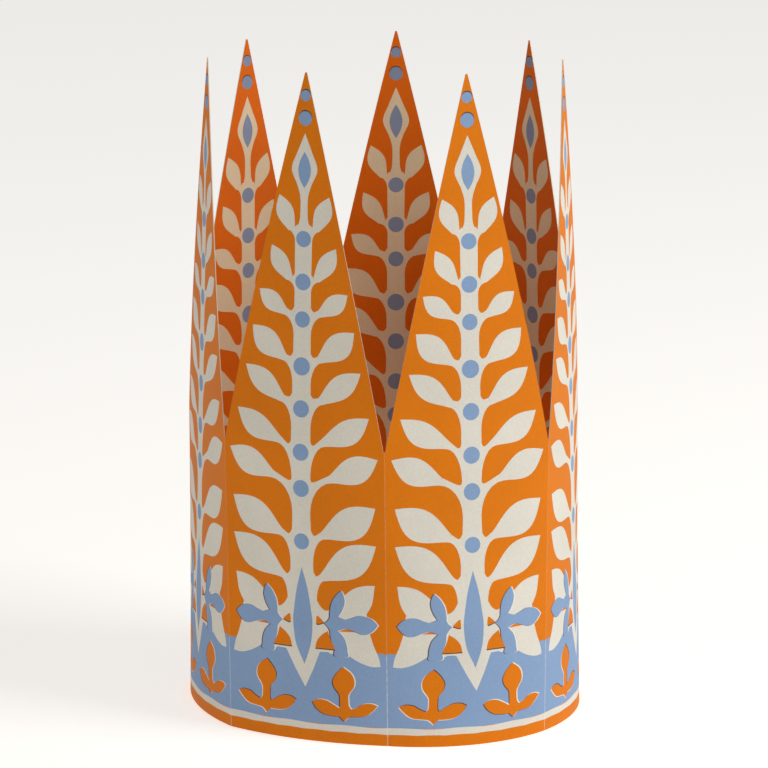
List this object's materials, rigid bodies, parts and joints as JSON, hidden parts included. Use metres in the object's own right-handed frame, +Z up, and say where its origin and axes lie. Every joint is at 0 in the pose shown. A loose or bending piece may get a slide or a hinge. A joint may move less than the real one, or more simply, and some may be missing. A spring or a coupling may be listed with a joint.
{
  "type": "paper crown",
  "caption": "Tall paper crown folded from one card sheet, with long lancet points and a printed leaf pattern.",
  "frame": {"origin": "middle of the crown's box on the rim that it stands on", "axes": "+Z up towards the points, -Y towards the front crease, +X to the right of a viewer who faces the front crease"},
  "size_m": [0.1912, 0.1778, 0.316],
  "materials": {
    "printed_card": "matt printed card"
  },
  "bodies": {
    "root": {"crown_card": "printed_card"}
  },
  "joints": []
}
